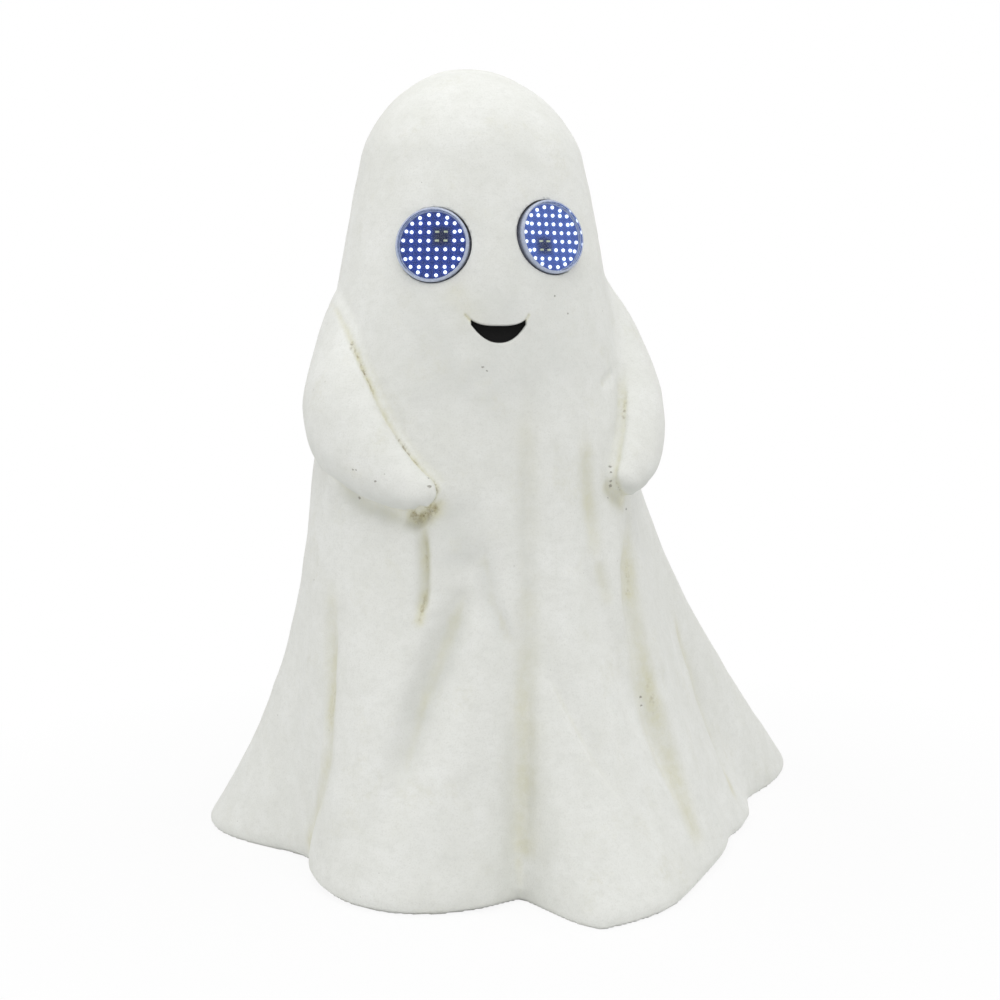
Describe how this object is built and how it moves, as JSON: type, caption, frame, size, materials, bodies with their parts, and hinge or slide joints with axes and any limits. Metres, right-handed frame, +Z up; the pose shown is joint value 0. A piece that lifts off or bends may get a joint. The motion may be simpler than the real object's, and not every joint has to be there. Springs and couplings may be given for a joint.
{
  "type": "light-up ghost figure",
  "caption": "Standing ghost figure with a folded robe, clasped arms and round light-up eyes, hollow, with a battery base that has a hinged door and a slide switch.",
  "frame": {"origin": "on the ground, at the middle of the hem's bounding box", "axes": "+Z up, the figure's front faces -Y, +X to the right as seen from the front"},
  "size_m": [0.3317, 0.3036, 0.38],
  "materials": {
    "shell": "matte cast resin, off-white, brush-textured, with a faint tan wash in the creases and a black mouth",
    "lens": "clear moulded plastic cap, glossy",
    "cup": "pale grey moulding",
    "light_board": "black solder mask, satin",
    "led_lit": "cool white, lit",
    "led_dark": "yellowish, not lit",
    "chip": "black epoxy",
    "plug_socket": "ivory nylon",
    "grey_lead": "dark grey sleeve",
    "red_lead": "red sleeve",
    "base_plastic": "dark grey, fine moulded texture",
    "box_plastic": "pale grey moulding",
    "screw_steel": "zinc-plated",
    "battery_jacket": "printed film over a steel can, plain bands",
    "spring_steel": "nickel-plated wire",
    "contact_metal": "pressed sheet",
    "seal_rubber": "closed-cell foam",
    "circuit_board": "green solder mask",
    "capacitor_sleeve": "dark blue sleeve",
    "switch_metal": "pressed case",
    "switch_plastic": "black knob with a ribbed end"
  },
  "bodies": {
    "figure": {"body_shell": "shell", "eye_lens_left": "lens", "eye_lens_right": "lens", "eye_cup_left": "cup", "eye_cup_right": "cup", "led_board_left": "light_board", "led_board_right": "light_board", "leds_left": "led_lit", "leds_right": "led_lit", "pupil_leds": "led_dark", "driver_chips": "chip", "control_chip": "chip", "eye_plug_sockets": "plug_socket", "board_plug_sockets": "plug_socket", "eye_lead_left": "grey_lead", "eye_lead_right": "grey_lead", "switch_lead": "grey_lead", "battery_lead": "red_lead", "base_plate": "base_plastic", "battery_box": "box_plastic", "base_screws": "screw_steel", "battery_box_screws": "screw_steel", "board_screws": "screw_steel", "batteries": "battery_jacket", "battery_springs": "spring_steel", "battery_contacts": "contact_metal", "control_board": "circuit_board", "capacitor": "capacitor_sleeve", "switch_case": "switch_metal"},
    "battery_door": {"battery_door": "base_plastic", "door_seal": "seal_rubber"},
    "door_screw": {"door_screw": "screw_steel"},
    "switch_knob": {"switch_knob": "switch_plastic"}
  },
  "joints": [
    {"name": "battery_door_hinge", "type": "hinge", "parent": "figure", "child": "battery_door", "pos_m": [-0.03461, -0.04776, 0.0076], "axis": [-1, 0, 0], "range_deg": [0, 110]},
    {"name": "door_screw_turn", "type": "hinge", "parent": "battery_door", "child": "door_screw", "pos_m": [-0.03461, 0.02134, 0.006], "axis": [0, 0, 1], "continuous": true},
    {"name": "switch_slide", "type": "slide", "parent": "figure", "child": "switch_knob", "axis": [0, -1, 0], "range_m": [0, 0.004]}
  ]
}
